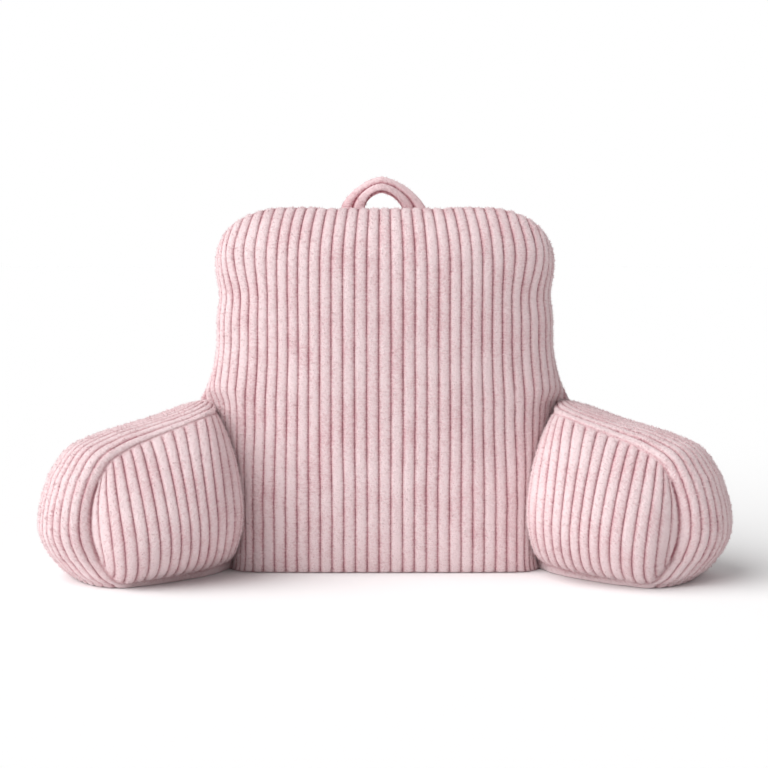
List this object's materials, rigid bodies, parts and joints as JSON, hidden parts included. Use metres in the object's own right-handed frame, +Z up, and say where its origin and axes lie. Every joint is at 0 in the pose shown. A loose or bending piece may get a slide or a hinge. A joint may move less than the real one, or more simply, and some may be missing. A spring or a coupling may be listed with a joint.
{
  "type": "backrest pillow",
  "caption": "Upright ribbed plush back cushion with padded arms that reach forward on each side and a carry strap on top.",
  "frame": {"origin": "on the floor, under the middle of the whole pillow", "axes": "+X to the sitter's left when seated against it and looking out, so to the right seen from the front, +Y from front to back, +Z up"},
  "size_m": [0.7716, 0.2848, 0.4497],
  "materials": {
    "plush": "matte wide-wale cut plush",
    "strap_plush": "matte wide-wale cut plush, darker below"
  },
  "bodies": {
    "root": {"back_cushion": "plush", "left_arm": "plush", "right_arm": "plush", "handle": "strap_plush"}
  },
  "joints": []
}
